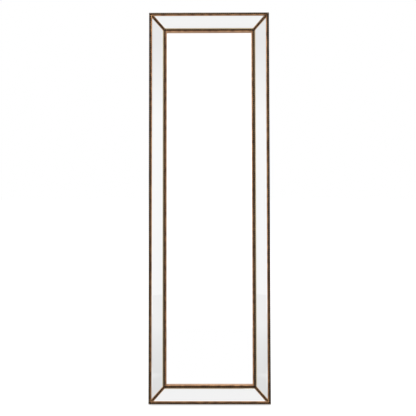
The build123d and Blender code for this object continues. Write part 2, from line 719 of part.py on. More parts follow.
def build_stays():
    """Both stays, hanging from their pivot at the origin."""
    parts = {}
    for name, arm, pin in zip(("left", "right"), both(stay_arm()), both(slider_pin())):
        parts[f"stay_arm_{name}"] = arm
        parts[f"slider_pin_{name}"] = pin
    return parts


def placed(parts, place):
    """Move every solid of every piece by one location."""
    moved = {}
    for name, shape in parts.items():
        solids = shape if isinstance(shape, list) else [shape]
        moved[name] = [place * solid for solid in solids]
    return moved


# The pieces that reach furthest forward and back
OUTERMOST = ("outer_trim_bottom", "frame_top_rail", "leg_feet")


def main():
    """Open the leg and stays, lean the mirror back, set it on the floor and write it."""
    hinge = Pos(0, HINGE_Y, HINGE_HEIGHT)
    stay_pivot = Pos(0, HINGE_Y, STAY_HEIGHT)
    parts = placed(build_panel(), Pos(0, 0, 0))
    parts.update(placed(build_leg(), hinge * Rot(SPREAD, 0, 0)))
    parts.update(placed(build_stays(), stay_pivot * Rot(2 * SPREAD, 0, 0)))
    leaned = Pos(0, 0, FOOT_DROP) * Rot(-LEAN, 0, 0)

    reaching = placed({name: parts[name] for name in OUTERMOST}, leaned)
    boxes = [solid.bounding_box() for solids in reaching.values() for solid in solids]
    depth_centre = (min(b.min.Y for b in boxes) + max(b.max.Y for b in boxes)) / 2
    stand = Pos(0, -depth_centre, 0) * leaned
    named_places = {"panel edge": stand, "hinge": stand * hinge, "stay pivot": stand * stay_pivot}
    for label, place in named_places.items():
        print(label, place.position)

    os.makedirs("parts", exist_ok=True)
    for name, solids in placed(parts, stand).items():
        shape = solids[0] if len(solids) == 1 else Compound(children=solids)
        export_step(shape, f"parts/{name}.step")


main()
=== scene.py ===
"""Finishes, light, floor and camera for a full-length floor mirror on a folding easel leg.

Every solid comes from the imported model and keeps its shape. Each one gets the finish of the
real thing here, drawn in millimetres on the axes of the sub-assembly that it belongs to.
"""

import logging
import math
from abc import ABC, abstractmethod
from dataclasses import dataclass
from enum import Enum
from typing import Iterable, Optional

import bmesh
import bpy
from mathutils import Matrix, Vector

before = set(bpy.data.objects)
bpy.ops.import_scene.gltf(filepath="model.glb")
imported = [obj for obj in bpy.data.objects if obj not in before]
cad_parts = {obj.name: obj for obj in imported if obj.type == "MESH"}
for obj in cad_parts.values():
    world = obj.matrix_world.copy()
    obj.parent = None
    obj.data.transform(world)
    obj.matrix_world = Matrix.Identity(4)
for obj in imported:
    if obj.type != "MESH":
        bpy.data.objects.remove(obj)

log = logging.getLogger("floor_mirror")

MM_PER_M = 1000.0


def linear(code: str) -> tuple[float, float, float, float]:
    """Turns an sRGB colour into the linear colour that a shader takes.

    Args:
        code: six hex digits, two each for red, green and blue.

    Returns:
        Linear red, green and blue, and an alpha of 1.
    """
    parts = [int(code[i:i + 2], 16) / 255 for i in (0, 2, 4)]
    return (*[c / 12.92 if c <= 0.04045 else ((c + 0.055) / 1.055) ** 2.4 for c in parts], 1.0)


def add_node(
    tree: bpy.types.NodeTree,
    kind: str,
    inputs: Optional[dict] = None,
    settings: Optional[dict] = None,
    stops: Optional[list[tuple[float, tuple]]] = None,
) -> bpy.types.Node:
    """Adds a node with its settings and links.

    Args:
        tree: the node tree that it joins.
        kind: Blender's name for the node's type.
        inputs: value or linked socket for each input, by its name or number.
        settings: properties of the node.
        stops: place and linear colour of each stop, for a colour ramp.

    Returns:
        The new node.
    """
    node = tree.nodes.new(kind)
    for name, value in (settings or {}).items():
        setattr(node, name, value)
    for name, value in (inputs or {}).items():
        if isinstance(value, bpy.types.NodeSocket):
            tree.links.new(value, node.inputs[name])
        else:
            node.inputs[name].default_value = value
    if stops:
        ramp = node.color_ramp.elements
        while len(ramp) < len(stops):
            ramp.new(0.5)
        for element, (place, colour) in zip(ramp, stops):
            element.position = place
            element.color = colour
    return node


class Grain(Enum):
    """Which way the long fibres of a wooden piece run on its sub-assembly's axes."""

    UP = "up"
    ACROSS = "across"


class Bead(Enum):
    """Where a beaded moulding lies, which sets how the height of its beads is read."""

    STRAIGHT = "straight"
    MITRE = "mitre"


class Pane(Enum):
    """Which glass a silvered finish is for."""

    MAIN = "main"
    STRIP = "strip"


@dataclass(frozen=True)
class FrameSizes:
    """Sizes of the dished frame on the panel's axes, in millimetres."""

    half_width: float = 255.0
    half_height: float = 825.0
    trim: float = 12.8
    strip: float = 46.8
    fillet: float = 4.0
    bead_radius: float = 3.9
    trim_base: float = 3.0
    outer_depth: float = 42.0
    inner_depth: float = 14.0
    strip_thick: float = 4.0
    corner_trim: float = 12.0
    corner_step: float = 0.8
    glass_depth: float = 8.0
    glass_thick: float = 5.0

    @property
    def inner_start(self) -> float:
        """Distance from the panel's outer edge to the inner moulding."""
        return self.trim + self.strip

    @property
    def sight_edge(self) -> float:
        """Distance from the panel's outer edge to the visible edge of the main mirror."""
        return self.inner_start + self.trim

    @property
    def slope(self) -> float:
        """How far the strips fall back for each millimetre inward."""
        return (self.outer_depth - self.inner_depth) / self.strip

    @property
    def strip_rise(self) -> float:
        """Thickness of a strip, measured straight through the panel."""
        return self.strip_thick * math.hypot(1.0, self.slope)

    @property
    def corner_front(self) -> Vector:
        """Direction that a corner trim faces, along side, depth and end distances."""
        return Vector((self.slope, -2.0, self.slope)).normalized()

    @property
    def corner_face(self) -> float:
        """Place of a corner trim's flat face along the direction that it faces."""
        root = math.sqrt(2 + self.slope ** 2)
        valley = Vector((self.trim, self.strip_rise - self.outer_depth, self.trim))
        rise = (self.strip_rise * math.sqrt(2) + self.corner_trim / 2 * self.slope) / root
        return self.corner_front.dot(valley) + rise + self.corner_step


@dataclass(frozen=True)
class Axes:
    """Axes of a sub-assembly: X to the right, Z up along it, Y through it to the back."""

    origin: tuple[float, float, float]
    lean: float

    def mapping(self) -> dict:
        """Gives the Mapping node inputs that turn metres in the room into these axes.

        Returns:
            Location, rotation and scale, which leave millimetres from the origin.
        """
        turn = math.radians(self.lean)
        moved = Matrix.Rotation(turn, 3, "X") @ Vector(self.origin) * -MM_PER_M
        return {"Location": moved, "Rotation": (turn, 0, 0), "Scale": (MM_PER_M,) * 3}


def edge_distances(
    tree: bpy.types.NodeTree, place: bpy.types.NodeSocket, sizes: FrameSizes
) -> tuple[bpy.types.NodeSocket, bpy.types.NodeSocket, bpy.types.NodeSocket]:
    """Reads where a point of the panel is by its distance from the outer edges.

    Args:
        tree: the material's node tree.
        place: socket with the place on the panel's axes, in millimetres.
        sizes: sizes of the frame.

    Returns:
        Distance from the nearer upright edge, place through the panel, and distance from the
        nearer level edge.
    """
    axis = add_node(tree, "ShaderNodeSeparateXYZ", {"Vector": place}).outputs
    width = add_node(tree, "ShaderNodeMath", {0: axis["X"]}, {"operation": "ABSOLUTE"})
    side = add_node(
        tree, "ShaderNodeMath", {0: sizes.half_width, 1: width.outputs[0]},
        {"operation": "SUBTRACT"})
    rise = add_node(
        tree, "ShaderNodeMath", {0: axis["Z"], 1: sizes.half_height}, {"operation": "SUBTRACT"})
    rise = add_node(tree, "ShaderNodeMath", {0: rise.outputs[0]}, {"operation": "ABSOLUTE"})
    end = add_node(
        tree, "ShaderNodeMath", {0: sizes.half_height, 1: rise.outputs[0]},
        {"operation": "SUBTRACT"})
    return side.outputs[0], axis["Y"], end.outputs[0]


@dataclass(frozen=True)
class Finish(ABC):
    """A material with a pattern on the axes of the sub-assembly that wears it."""

    name: str
    axes: Axes

    @abstractmethod
    def paint(
        self, tree: bpy.types.NodeTree, place: bpy.types.NodeSocket, shader: bpy.types.Node
    ) -> None:
        """Feeds the shader.

        Args:
            tree: the material's node tree.
            place: socket with the place on the sub-assembly's axes, in millimetres.
            shader: the Principled shader of the material.
        """

    def make(self) -> bpy.types.Material:
        """Makes the material.

        Returns:
            The finished material.
        """
        material = bpy.data.materials.new(self.name)
        material.use_nodes = True
        tree = material.node_tree
        where = add_node(tree, "ShaderNodeTexCoord")
        inputs = {"Vector": where.outputs["Object"], **self.axes.mapping()}
        place = add_node(tree, "ShaderNodeMapping", inputs)
        self.paint(tree, place.outputs["Vector"], tree.nodes["Principled BSDF"])
        return material


@dataclass(frozen=True)
class GlazedCopperLeaf(Finish):
    """Copper leaf on a pressed composition moulding, toned with a dark brown glaze.

    The glaze stays between the beads and is wiped off their crests and off the smooth fillet,
    so the eye sees near-black gaps and warm, softly shining tops. The colour by bead height
    also paints shade and light: darker shadow and flank colours on the lower bead sides are
    painted shade, and the bright crest colour is partly a painted highlight. The outer
    moulding's outer wall takes the flank colour as painted shade, and the walls of the inner
    moulding and the corner trims next to the strips take a pale gold that is a painted
    highlight for light thrown back by the mirrored strips.
    """

    sizes: FrameSizes
    bead: Bead = Bead.STRAIGHT
    glaze: str = "050302"
    # shadow and the flank colour are painted shade; the crest colour is rubbed leaf brightened
    # into a painted highlight.
    shadow: str = "0F0805"
    painted_shade_flank: str = "3A2517"
    crest_wear_and_highlight: str = "DDAC7C"
    worn_fillet: str = "6E4C34"
    fillet: str = "BE8E64"
    lip: str = "C4966A"
    # Pale gold on the walls beside the strips: a painted highlight for light from the mirrored
    # strips.
    strip_reflection_highlight: str = "E2D0A8"
    # Share of a bead's height above which the glaze is rubbed off and the painted shade gives way
    # to the painted highlight.
    rubbed: float = 0.7
    corner_beads: float = 3.8
    patch: float = 14.0
    scratch: float = 1.5

    def paint(
        self, tree: bpy.types.NodeTree, place: bpy.types.NodeSocket, shader: bpy.types.Node
    ) -> None:
        """Feeds the shader with glaze, leaf and wear by the height of the bead, with painted
        shade and a painted highlight.
        """
        side, depth, end = edge_distances(tree, place, self.sizes)
        if self.bead is Bead.STRAIGHT:
            height, band, rim = self.straight(tree, side, depth, end)
        else:
            height, band, rim = self.mitre(tree, side, depth, end)
        radius = self.sizes.bead_radius
        # Bead height sets where the glaze is rubbed off, and also where painted shade turns to
        # painted highlight.
        rub = add_node(
            tree, "ShaderNodeMapRange",
            {"Value": height, "From Min": self.rubbed * radius, "From Max": radius})
        patch = add_node(
            tree, "ShaderNodeTexNoise",
            {"Vector": place, "Scale": 1 / self.patch, "Detail": 3.0, "Roughness": 0.6})
        worn = add_node(
            tree, "ShaderNodeMath", {0: patch.outputs["Fac"], 1: 0.4, 2: rub.outputs[0]},
            {"operation": "MULTIPLY_ADD"})
        worn = add_node(
            tree, "ShaderNodeMath", {0: worn.outputs[0], 1: 0.2},
            {"operation": "SUBTRACT", "use_clamp": True})
        # Ramp: real glaze in the gaps, shadow and flank stops as painted shade, crest stop as
        # rubbed leaf plus painted highlight.
        beads = add_node(
            tree, "ShaderNodeValToRGB", {"Fac": worn.outputs[0]},
            stops=[(0.0, linear(self.glaze)), (0.4, linear(self.shadow)),
                   (0.7, linear(self.painted_shade_flank)), (0.95, linear(self.crest_wear_and_highlight))])
        smooth = add_node(
            tree, "ShaderNodeValToRGB", {"Fac": patch.outputs["Fac"]},
            stops=[(0.32, linear(self.worn_fillet)), (0.6, linear(self.fillet))])
        colour = add_node(
            tree, "ShaderNodeMix",
            {0: band, 6: beads.outputs["Color"], 7: smooth.outputs["Color"]},
            {"data_type": "RGBA"})
        below = add_node(
            tree, "ShaderNodeMath", {0: height, 1: -0.05}, {"operation": "LESS_THAN"})
        # Walls under the beads: flank colour as painted shade on the outer moulding's outer side,
        # real gilded lip on the inner side, painted highlight beside the strips.
        wall = add_node(
            tree, "ShaderNodeMix",
            {0: band, 6: linear(self.painted_shade_flank), 7: linear(self.lip)}, {"data_type": "RGBA"})
        wall = add_node(
            tree, "ShaderNodeMix",
            {0: rim, 6: wall.outputs[2], 7: linear(self.strip_reflection_highlight)}, {"data_type": "RGBA"})
        colour = add_node(
            tree, "ShaderNodeMix",
            {0: below.outputs[0], 6: colour.outputs[2], 7: wall.outputs[2]},
            {"data_type": "RGBA"})
        tree.links.new(colour.outputs[2], shader.inputs["Base Color"])
        bare = add_node(
            tree, "ShaderNodeMath", {0: worn.outputs[0], 1: band}, {"operation": "MAXIMUM"})
        bare = add_node(
            tree, "ShaderNodeMath", {0: bare.outputs[0], 1: below.outputs[0]},
            {"operation": "MAXIMUM"})
        metal = add_node(
            tree, "ShaderNodeMath", {0: bare.outputs[0], 1: 0.85}, {"operation": "MULTIPLY"})
        tree.links.new(metal.outputs[0], shader.inputs["Metallic"])
        rough = add_node(
            tree, "ShaderNodeMapRange",
            {"Value": patch.outputs["Fac"], "To Min": 0.5, "To Max": 0.32})
        rough = add_node(
            tree, "ShaderNodeMix", {0: bare.outputs[0], 2: 0.85, 3: rough.outputs[0]})
        tree.links.new(rough.outputs[0], shader.inputs["Roughness"])
        shader.inputs["Specular IOR Level"].default_value = 0.3
        scratch = add_node(
            tree, "ShaderNodeTexNoise",
            {"Vector": place, "Scale": 1 / self.scratch, "Detail": 2.0})
        bump = add_node(
            tree, "ShaderNodeBump",
            {"Height": scratch.outputs["Fac"], "Strength": 0.25, "Distance": 0.0004})
        tree.links.new(bump.outputs[0], shader.inputs["Normal"])

    def straight(
        self, tree: bpy.types.NodeTree, side: bpy.types.NodeSocket,
        depth: bpy.types.NodeSocket, end: bpy.types.NodeSocket,
    ) -> tuple[bpy.types.NodeSocket, bpy.types.NodeSocket, bpy.types.NodeSocket]:
        """Reads bead height, fillet and rim on a moulding along one side of the panel.

        Args:
            tree: the material's node tree.
            side: distance from the nearer upright edge.
            depth: place through the panel.
            end: distance from the nearer level edge.

        Returns:
            Height above the moulding's flat face, 1 on the fillet, and 1 on the rest of the
            inner moulding.
        """
        sizes = self.sizes
        inward = add_node(tree, "ShaderNodeMath", {0: side, 1: end}, {"operation": "MINIMUM"})
        inner = add_node(
            tree, "ShaderNodeMath", {0: inward.outputs[0], 1: sizes.inner_start / 2},
            {"operation": "GREATER_THAN"})
        base = add_node(
            tree, "ShaderNodeMath",
            {0: inner.outputs[0], 1: sizes.outer_depth - sizes.inner_depth,
             2: -sizes.outer_depth - sizes.trim_base}, {"operation": "MULTIPLY_ADD"})
        height = add_node(
            tree, "ShaderNodeMath", {0: base.outputs[0], 1: depth}, {"operation": "SUBTRACT"})
        across = add_node(
            tree, "ShaderNodeMath",
            {0: inner.outputs[0], 1: -sizes.inner_start, 2: inward.outputs[0]},
            {"operation": "MULTIPLY_ADD"})
        fillet_start = sizes.trim - sizes.fillet
        band = add_node(
            tree, "ShaderNodeMapRange",
            {"Value": across.outputs[0], "From Min": fillet_start - 0.2,
             "From Max": fillet_start})
        rim = add_node(
            tree, "ShaderNodeMath", {0: inner.outputs[0], 1: band.outputs[0]},
            {"operation": "SUBTRACT", "use_clamp": True})
        return height.outputs[0], band.outputs[0], rim.outputs[0]

    def mitre(
        self, tree: bpy.types.NodeTree, side: bpy.types.NodeSocket,
        depth: bpy.types.NodeSocket, end: bpy.types.NodeSocket,
    ) -> tuple[bpy.types.NodeSocket, bpy.types.NodeSocket, bpy.types.NodeSocket]:
        """Reads bead height and flat edges on a corner trim in the valley of two strips.

        Args:
            tree: the material's node tree.
            side: distance from the nearer upright edge.
            depth: place through the panel.
            end: distance from the nearer level edge.

        Returns:
            Height above the trim's flat face, and 1 beside the beads for fillet and rim alike.
        """
        spot = add_node(tree, "ShaderNodeCombineXYZ", {"X": side, "Y": depth, "Z": end})
        facing = add_node(
            tree, "ShaderNodeVectorMath", {0: spot.outputs[0], 1: self.sizes.corner_front},
            {"operation": "DOT_PRODUCT"})
        height = add_node(
            tree, "ShaderNodeMath", {0: facing.outputs["Value"], 1: self.sizes.corner_face},
            {"operation": "SUBTRACT"})
        spread = add_node(tree, "ShaderNodeMath", {0: side, 1: end}, {"operation": "SUBTRACT"})
        spread = add_node(
            tree, "ShaderNodeMath", {0: spread.outputs[0]}, {"operation": "ABSOLUTE"})
        edge = self.corner_beads * math.sqrt(2)
        band = add_node(
            tree, "ShaderNodeMapRange",
            {"Value": spread.outputs[0], "From Min": edge, "From Max": edge + 0.3})
        return height.outputs[0], band.outputs[0], band.outputs[0]


@dataclass(frozen=True)
class SprayedBronzePaint(Finish):
    """Bronze-brown lacquer sprayed on pine, which lets a little of the long grain show.

    Fine metal flakes give a warm, soft shine, and the grain only lifts the paint slightly.
    The narrow lip next to the main mirror is gilded with the moulding.
    """

    sizes: FrameSizes
    grain: Grain = Grain.ACROSS
    shade: str = "3A281D"
    light: str = "6A4C36"
    worn_leaf: str = "80593B"
    leaf: str = "C4966A"
    # Real flakes are under 0.1 mm and the grain about 1.5 mm; both are drawn coarser to show.
    flake: float = 2.2
    fibre: float = 5.0
    stretch: float = 24.0

    def paint(
        self, tree: bpy.types.NodeTree, place: bpy.types.NodeSocket, shader: bpy.types.Node
    ) -> None:
        """Feeds the shader with flakes and a telegraphed grain."""
        run = self.stretch if self.grain is Grain.ACROSS else 1.0
        climb = self.stretch if self.grain is Grain.UP else 1.0
        long = add_node(
            tree, "ShaderNodeMapping", {"Vector": place, "Scale": (1 / run, 1.0, 1 / climb)})
        fibre = add_node(
            tree, "ShaderNodeTexNoise",
            {"Vector": long.outputs[0], "Scale": 1 / self.fibre, "Detail": 4.0,
             "Roughness": 0.6})
        flake = add_node(
            tree, "ShaderNodeTexNoise", {"Vector": place, "Scale": 1 / self.flake, "Detail": 2.0})
        blend = add_node(
            tree, "ShaderNodeMath", {0: fibre.outputs["Fac"], 1: flake.outputs["Fac"]},
            {"operation": "ADD"})
        colour = add_node(
            tree, "ShaderNodeValToRGB", {"Fac": blend.outputs[0]},
            stops=[(0.0, linear(self.shade)), (1.0, linear(self.light))])
        tone = add_node(
            tree, "ShaderNodeMapRange",
            {"Value": blend.outputs[0], "From Min": 0.7, "From Max": 1.3})
        tree.links.new(tone.outputs[0], colour.inputs["Fac"])
        leaf = add_node(
            tree, "ShaderNodeValToRGB", {"Fac": fibre.outputs["Fac"]},
            stops=[(0.32, linear(self.worn_leaf)), (0.6, linear(self.leaf))])
        side, _, end = edge_distances(tree, place, self.sizes)
        inward = add_node(tree, "ShaderNodeMath", {0: side, 1: end}, {"operation": "MINIMUM"})
        lip = add_node(
            tree, "ShaderNodeMath", {0: inward.outputs[0], 1: self.sizes.sight_edge - 0.3},
            {"operation": "GREATER_THAN"})
        shown = add_node(
            tree, "ShaderNodeMix",
            {0: lip.outputs[0], 6: colour.outputs["Color"], 7: leaf.outputs["Color"]},
            {"data_type": "RGBA"})
        tree.links.new(shown.outputs[2], shader.inputs["Base Color"])
        rough = add_node(
            tree, "ShaderNodeMapRange",
            {"Value": flake.outputs["Fac"], "To Min": 0.34, "To Max": 0.5})
        tree.links.new(rough.outputs[0], shader.inputs["Roughness"])
        shader.inputs["Metallic"].default_value = 0.45
        bump = add_node(
            tree, "ShaderNodeBump",
            {"Height": blend.outputs[0], "Strength": 0.3, "Distance": 0.0006})
        tree.links.new(bump.outputs[0], shader.inputs["Normal"])


@dataclass(frozen=True)
class SilveredGlass(Finish):
    """Float glass silvered on its back: a clear mirror with green edges and a painted back.

    The eye sees the room in it, a little less bright than the room itself. The bare glass
    shows only on its edges, and the back is the grey paint that guards the silver.
    """

    sizes: FrameSizes
    pane: Pane = Pane.MAIN
    # The main mirror's near-white silver and the strips' darker silver are two levels of one
    # glass; the strips' darker level is painted shade.
    silver: str = "FEFEFE"
    green: str = "7FA898"
    guard: str = "85878A"
    # How deep the silver reaches down a pane's edge, and the guard paint up it, in millimetres.
    silver_depth: float = 1.2
    guard_depth: float = 0.4
    smear: float = 90.0

    def paint(
        self, tree: bpy.types.NodeTree, place: bpy.types.NodeSocket, shader: bpy.types.Node
    ) -> None:
        """Feeds the shader with silver, glass edge or guard paint by the depth in the pane."""
        sizes = self.sizes
        side, depth, end = edge_distances(tree, place, sizes)
        if self.pane is Pane.MAIN:
            front, slope, start, thick = -sizes.glass_depth, 0.0, 0.0, sizes.glass_thick
        else:
            front, slope, start, thick = (
                -sizes.outer_depth, sizes.slope, sizes.trim, sizes.strip_rise)
        inward = add_node(tree, "ShaderNodeMath", {0: side, 1: end}, {"operation": "MINIMUM"})
        face = add_node(
            tree, "ShaderNodeMath",
            {0: inward.outputs[0], 1: -slope, 2: slope * start - front},
            {"operation": "MULTIPLY_ADD"})
        deep = add_node(
            tree, "ShaderNodeMath", {0: depth, 1: face.outputs[0]}, {"operation": "ADD"})
        body = add_node(
            tree, "ShaderNodeMapRange",
            {"Value": deep.outputs[0], "From Min": self.silver_depth,
             "From Max": self.silver_depth + 0.2})
        back = add_node(
            tree, "ShaderNodeMapRange",
            {"Value": deep.outputs[0], "From Min": thick - self.guard_depth,
             "From Max": thick - self.guard_depth / 2})
        colour = add_node(
            tree, "ShaderNodeMix",
            {0: body.outputs[0], 6: linear(self.silver), 7: linear(self.green)},
            {"data_type": "RGBA"})
        colour = add_node(
            tree, "ShaderNodeMix",
            {0: back.outputs[0], 6: colour.outputs[2], 7: linear(self.guard)},
            {"data_type": "RGBA"})
        tree.links.new(colour.outputs[2], shader.inputs["Base Color"])
        metal = add_node(
            tree, "ShaderNodeMath", {0: 1.0, 1: body.outputs[0]}, {"operation": "SUBTRACT"})
        tree.links.new(metal.outputs[0], shader.inputs["Metallic"])
        smear = add_node(
            tree, "ShaderNodeTexNoise",
            {"Vector": place, "Scale": 1 / self.smear, "Detail": 3.0})
        polish = add_node(
            tree, "ShaderNodeMapRange",
            {"Value": smear.outputs["Fac"], "To Min": 0.0, "To Max": 0.025})
        rough = add_node(
            tree, "ShaderNodeMath", {0: back.outputs[0], 1: 0.5, 2: polish.outputs[0]},
            {"operation": "MULTIPLY_ADD"})
        tree.links.new(rough.outputs[0], shader.inputs["Roughness"])


@dataclass(frozen=True)
class StainedPine(Finish):
    """Planed pine with dark walnut stain under a thin satin lacquer.

    The eye sees long dark and reddish growth bands, finer streaks in them, and a dull shine.
    """

    grain: Grain = Grain.ACROSS
    dark: str = "2B1A12"
    middle: str = "4A2D1D"
    light: str = "6B442B"
    # Growth bands are about 3 mm and streaks under 1 mm; both are drawn wider to show.
    band: float = 9.0
    streak: float = 3.0
    stretch: float = 22.0

    def paint(
        self, tree: bpy.types.NodeTree, place: bpy.types.NodeSocket, shader: bpy.types.Node
    ) -> None:
        """Feeds the shader with growth bands and streaks along the grain."""
        run = self.stretch if self.grain is Grain.ACROSS else 1.0
        climb = self.stretch if self.grain is Grain.UP else 1.0
        long = add_node(
            tree, "ShaderNodeMapping",
            {"Vector": place, "Scale": (1 / run, 1.0, 1 / climb)})
        bend = add_node(
            tree, "ShaderNodeTexNoise",
            {"Vector": long.outputs[0], "Scale": 1 / (3 * self.band), "Detail": 2.0})
        ring = add_node(
            tree, "ShaderNodeTexWave",
            {"Vector": long.outputs[0], "Scale": math.tau / 20 / self.band,
             "Distortion": 9.0, "Detail": 2.0, "Detail Scale": 1.0, "Detail Roughness": 0.5},
            {"wave_type": "BANDS", "bands_direction": "DIAGONAL", "wave_profile": "SAW"})
        streak = add_node(
            tree, "ShaderNodeTexNoise",
            {"Vector": long.outputs[0], "Scale": 1 / self.streak, "Detail": 4.0,
             "Roughness": 0.65})
        tone = add_node(
            tree, "ShaderNodeMath", {0: ring.outputs["Fac"], 1: 0.35, 2: streak.outputs["Fac"]},
            {"operation": "MULTIPLY_ADD"})
        tone = add_node(
            tree, "ShaderNodeMath", {0: bend.outputs["Fac"], 1: 0.5, 2: tone.outputs[0]},
            {"operation": "MULTIPLY_ADD"})
        tone = add_node(
            tree, "ShaderNodeMapRange",
            {"Value": tone.outputs[0], "From Min": 0.55, "From Max": 1.3})
        colour = add_node(
            tree, "ShaderNodeValToRGB", {"Fac": tone.outputs[0]},
            stops=[(0.0, linear(self.dark)), (0.5, linear(self.middle)),
                   (1.0, linear(self.light))])
        tree.links.new(colour.outputs["Color"], shader.inputs["Base Color"])
        rough = add_node(
            tree, "ShaderNodeMapRange",
            {"Value": streak.outputs["Fac"], "To Min": 0.42, "To Max": 0.58})
        tree.links.new(rough.outputs[0], shader.inputs["Roughness"])
        shader.inputs["Coat Weight"].default_value = 0.15
        shader.inputs["Coat Roughness"].default_value = 0.3
        bump = add_node(
            tree, "ShaderNodeBump",
            {"Height": streak.outputs["Fac"], "Strength": 0.3, "Distance": 0.0006})
        tree.links.new(bump.outputs[0], shader.inputs["Normal"])


@dataclass(frozen=True)
class SawnBirchPly(Finish):
    """Sawn birch plywood, left bare: pale veneers with darker end grain between them."""

    face: str = "DCC39B"
    core: str = "A98555"
    veneer: float = 1.0
    fibre: float = 3.0

    def paint(
        self, tree: bpy.types.NodeTree, place: bpy.types.NodeSocket, shader: bpy.types.Node
    ) -> None:
        """Feeds the shader with one band for each veneer."""
        ply = add_node(
            tree, "ShaderNodeTexWave",
            {"Vector": place, "Scale": math.tau / 20 / (2 * self.veneer)},
            {"wave_type": "BANDS", "bands_direction": "Y"})
        fibre = add_node(
            tree, "ShaderNodeTexNoise",
            {"Vector": place, "Scale": 1 / self.fibre, "Detail": 4.0})
        tone = add_node(
            tree, "ShaderNodeMath", {0: ply.outputs["Fac"], 1: fibre.outputs["Fac"]},
            {"operation": "MULTIPLY", "use_clamp": True})
        colour = add_node(
            tree, "ShaderNodeValToRGB", {"Fac": tone.outputs[0]},
            stops=[(0.0, linear(self.core)), (0.6, linear(self.face))])
        tree.links.new(colour.outputs["Color"], shader.inputs["Base Color"])
        shader.inputs["Roughness"].default_value = 0.7


@dataclass(frozen=True)
class PressedHardboard(Finish):
    """Brown hardboard, pressed from wood fibre, with the mark of the press screen.

    The eye sees a dull brown sheet with pale and dark flecks and a fine even roughness.
    """

    dark: str = "4D3320"
    light: str = "8A6342"
    # Flecks are 1 to 3 mm and the screen mark 1.5 mm; both are drawn coarser to show.
    fleck: float = 5.0
    screen: float = 6.0
    cloud: float = 120.0

    def paint(
        self, tree: bpy.types.NodeTree, place: bpy.types.NodeSocket, shader: bpy.types.Node
    ) -> None:
        """Feeds the shader with flecks, clouds of tone and the screen's mark."""
        fleck = add_node(
            tree, "ShaderNodeTexNoise",
            {"Vector": place, "Scale": 1 / self.fleck, "Detail": 5.0, "Roughness": 0.7})
        cloud = add_node(
            tree, "ShaderNodeTexNoise",
            {"Vector": place, "Scale": 1 / self.cloud, "Detail": 2.0})
        tone = add_node(
            tree, "ShaderNodeMath",
            {0: cloud.outputs["Fac"], 1: 0.6, 2: fleck.outputs["Fac"]},
            {"operation": "MULTIPLY_ADD"})
        tone = add_node(
            tree, "ShaderNodeMapRange",
            {"Value": tone.outputs[0], "From Min": 0.5, "From Max": 1.1})
        colour = add_node(
            tree, "ShaderNodeValToRGB", {"Fac": tone.outputs[0]},
            stops=[(0.0, linear(self.dark)), (1.0, linear(self.light))])
        tree.links.new(colour.outputs["Color"], shader.inputs["Base Color"])
        shader.inputs["Roughness"].default_value = 0.72
        screen = add_node(
            tree, "ShaderNodeTexVoronoi", {"Vector": place, "Scale": 1 / self.screen})
        relief = add_node(
            tree, "ShaderNodeMath", {0: screen.outputs["Distance"], 1: fleck.outputs["Fac"]},
            {"operation": "ADD"})
        bump = add_node(
            tree, "ShaderNodeBump",
            {"Height": relief.outputs[0], "Strength": 0.35, "Distance": 0.0005})
        tree.links.new(bump.outputs[0], shader.inputs["Normal"])


@dataclass(frozen=True)
class PressedFelt(Finish):
    """Grey needled felt: matt, slightly mottled, with a soft edge of loose fibre."""

    dark: str = "6E6F70"
    light: str = "A3A4A4"
    tuft: float = 6.0

    def paint(
        self, tree: bpy.types.NodeTree, place: bpy.types.NodeSocket, shader: bpy.types.Node
    ) -> None:
        """Feeds the shader with mottled fibre."""
        tuft = add_node(
            tree, "ShaderNodeTexNoise",
            {"Vector": place, "Scale": 1 / self.tuft, "Detail": 6.0, "Roughness": 0.75})
        colour = add_node(
            tree, "ShaderNodeValToRGB", {"Fac": tuft.outputs["Fac"]},
            stops=[(0.3, linear(self.dark)), (0.7, linear(self.light))])
        tree.links.new(colour.outputs["Color"], shader.inputs["Base Color"])
        shader.inputs["Roughness"].default_value = 0.95
        shader.inputs["Sheen Weight"].default_value = 0.3


@dataclass(frozen=True)
class MouldedRubber(Finish):
    """Black moulded rubber: a deep matt grey-black with a faint bloom and fine pits."""

    dark: str = "121212"
    bloom: str = "2A2A29"
    patch: float = 8.0
    pit: float = 1.2

    def paint(
        self, tree: bpy.types.NodeTree, place: bpy.types.NodeSocket, shader: bpy.types.Node
    ) -> None:
        """Feeds the shader with bloom and pits."""
        patch = add_node(
            tree, "ShaderNodeTexNoise",
            {"Vector": place, "Scale": 1 / self.patch, "Detail": 3.0})
        colour = add_node(
            tree, "ShaderNodeValToRGB", {"Fac": patch.outputs["Fac"]},
            stops=[(0.35, linear(self.dark)), (0.7, linear(self.bloom))])
        tree.links.new(colour.outputs["Color"], shader.inputs["Base Color"])
        rough = add_node(
            tree, "ShaderNodeMapRange",
            {"Value": patch.outputs["Fac"], "To Min": 0.6, "To Max": 0.85})
        tree.links.new(rough.outputs[0], shader.inputs["Roughness"])
        pit = add_node(
            tree, "ShaderNodeTexNoise", {"Vector": place, "Scale": 1 / self.pit, "Detail": 2.0})
        bump = add_node(
            tree, "ShaderNodeBump",
            {"Height": pit.outputs["Fac"], "Strength": 0.3, "Distance": 0.0003})
        tree.links.new(bump.outputs[0], shader.inputs["Normal"])


